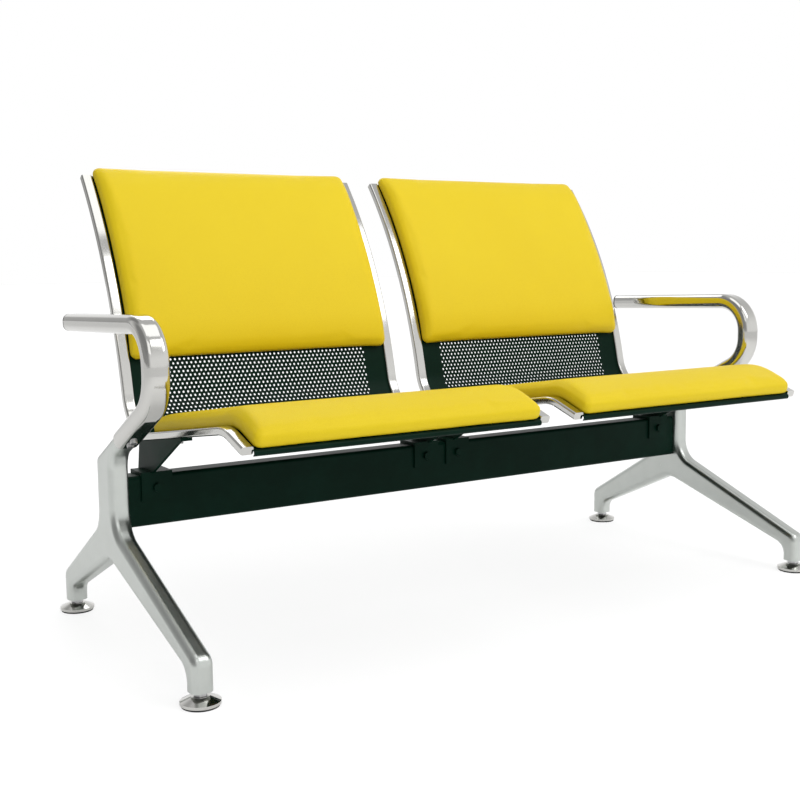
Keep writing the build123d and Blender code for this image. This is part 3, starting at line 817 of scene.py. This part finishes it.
pull = 1 - off_ridge.math("MAXIMUM", off_ridge, tip) * depth / radius
drawn = stud_tree.node("ShaderNodeCombineXYZ", {}, {"X": x * pull, "Y": y * pull, "Z": z})
sockets = {"Vector": drawn.outputs[0], "Vector_001": stud_tree.given["Place"]}
moved = stud_tree.node("ShaderNodeVectorMath", {"operation": "ADD"}, sockets).outputs[0]
threaded = stud_tree.node("GeometryNodeSetPosition", {}, {"Geometry": rod, "Position": moved})
stud_tree.close(threaded.outputs[0])
print("stud tree", len(stud_tree.tree.nodes), "nodes")

# %% Make the studs
thread_sharp = 60
for end in ("front", "rear"):
    for side_name in SIDES:
        low, high = (Vector(corner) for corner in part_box(f"foot_stud_{end}_{side_name}"))
        settings = {
            "Place": (low + high) / 2,
            "Radius": (high.x - low.x) / 2,
            "Length": high.z - low.z,
            "Pitch": thread_pitch,
            "Depth": thread_depth,
            "Finish": zinc.material,
        }
        host = stud_tree.host(bpy.data.meshes.new("stud"), settings)
        piece = keep_mesh(host, f"threaded_stud_{end}_{side_name}")
        smooth(piece.data, thread_sharp)
        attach(piece, f"stud_{end}_{side_name}")
        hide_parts(f"foot_stud_{end}_{side_name}")
        print(piece.name, "triangles", triangles(piece.data))

# %% [markdown]
# ## Pads
# A pad is foam on a board, pulled into a sewn cover. It is crowned in the middle, its sides pull
# in between the corners, and it is flat only where it lies on the panel. The cover is simulated
# as cloth blown up a little from inside, on a flat pad, and the result is then laid on the side
# line. That is simpler than blowing up a bent pad, and both seats can share it.

# %% Pad sizes
pad_width = 0.485
pad_base = 0.00105
pad_thickness = 0.0255
pad_rounding, pad_foot_rounding = 0.011, 0.003
pad_voxel = 0.005
pad_pressure, pad_frames, pad_swell = 4.0, 20, 0.0055
pad_end_reach = 0.060
pad_end_shares = {"back": (0.64, 0.70), "seat": (0.92, 0.92)}
pad_spans = {"back": (0.0, 0.352), "seat": (seat_start - 0.006, shell_length + 0.003)}
print("pad lengths", {part: round(last - first, 4) for part, (first, last) in pad_spans.items()})


# %% Flat pad
def rounded(shape, edges, radius, segments):
    """Round some edges of a shape in the making."""
    bmesh.ops.bevel(shape, geom=edges, offset=radius, segments=segments, profile=0.5, affect="EDGES")


def flat_block(length):
    """A closed block with rounded edges: x across, y along, z up from the panel."""
    shape = bmesh.new()
    bmesh.ops.create_cube(shape, size=1.0)
    bmesh.ops.scale(shape, vec=(pad_width, length, pad_thickness), verts=shape.verts)
    bmesh.ops.translate(shape, vec=(0, 0, pad_thickness / 2), verts=shape.verts)
    under = [face for face in shape.faces if face.normal.z < -0.5][0]
    upper = [edge for edge in shape.edges if under not in edge.link_faces]
    rounded(shape, upper, pad_rounding, 4)
    under = min(shape.faces, key=lambda face: face.calc_center_median().z)
    rounded(shape, under.edges[:], pad_foot_rounding, 2)
    mesh = bpy.data.meshes.new("flat_pad")
    shape.to_mesh(mesh)
    shape.free()
    made = bpy.data.objects.new("flat_pad", mesh)
    scene.collection.objects.link(made)
    remesh = made.modifiers.new("even", "REMESH")
    remesh.mode = "VOXEL"
    remesh.voxel_size = pad_voxel
    return keep_mesh(made, "flat_pad")


# %% [markdown]
# The cover swells by cloth with pressure from inside and no gravity. The swell is capped, the pad's
# underside stays flat on the panel, and the width and length that the cover pulls in are given back.


# %% Blow up a flat pad
def points_of(mesh):
    flat = np.empty(len(mesh.vertices) * 3, np.float32)
    mesh.vertices.foreach_get("co", flat)
    return flat.reshape(-1, 3).astype(float)


def blow_up(pad):
    """Cloth blown up from inside, no point moved further than the swell, and its size kept."""
    before = points_of(pad.data)
    cloth = pad.modifiers.new("cover", "CLOTH")
    cloth.settings.use_pressure = True
    cloth.settings.uniform_pressure_force = pad_pressure
    cloth.settings.effector_weights.gravity = 0.0
    cloth.point_cache.frame_end = pad_frames
    for number in range(1, pad_frames + 1):
        scene.frame_set(number)
    blown = keep_mesh(pad, "flat_pad")
    scene.frame_set(1)
    moved = points_of(blown.data) - before
    size = np.linalg.norm(moved, axis=1, keepdims=True)
    after = before + moved * np.minimum(1.0, pad_swell / np.maximum(size, 1e-9))
    after[:, 2] = np.maximum(after[:, 2], 0.0)
    print("pulled in and swollen by", (np.ptp(after, axis=0) - np.ptp(before, axis=0)).round(4))
    after[:, :2] *= (np.ptp(before, axis=0) / np.ptp(after, axis=0))[:2]
    blown.data.vertices.foreach_set("co", after.astype(np.float32).ravel())
    return blown


# %% [markdown]
# The pads are thinner where their ends round off towards the panel, most of all at the top and the
# bottom of the backs. That is a share of the thickness that grows from each end inwards.


# %% Lay the pads on the shells
def end_share(along, span, ends):
    """The share of a pad's full thickness at distances along it."""
    share = np.ones_like(along)
    for inward, end in ((along - span[0], ends[0]), (span[1] - along, ends[1])):
        share *= end + (1 - end) * np.sin(np.clip(inward / pad_end_reach, 0, 1) * math.pi / 2)
    return share


for part, (first, last) in pad_spans.items():
    pad = flat_block(last - first)
    pad = blow_up(pad)
    flat_points = points_of(pad.data)
    flat_points[:, 1] += (first + last) / 2
    flat_points[:, 2] *= end_share(flat_points[:, 1], (first, last), pad_end_shares[part])
    flat_points[:, 2] += pad_base
    for side_name, sign in SIDES.items():
        mesh = pad.data.copy()
        places = on_shell(sign * seat_centre, flat_points)
        mesh.vertices.foreach_set("co", places.astype(np.float32).ravel())
        mesh.materials.clear()
        mesh.materials.append(cover.material)
        piece = bpy.data.objects.new(f"{part}_cushion_{side_name}", mesh)
        scene.collection.objects.link(piece)
        mesh.shade_smooth()
        finer = piece.modifiers.new("finer", "SUBSURF")
        finer.levels = finer.render_levels = 1
        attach(piece, "bench")
        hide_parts(f"{part}_pad_{side_name}")
    print(part, "pad points", len(flat_points), "highest", round(float(flat_points[:, 2].max()), 4))
    bpy.data.objects.remove(pad)
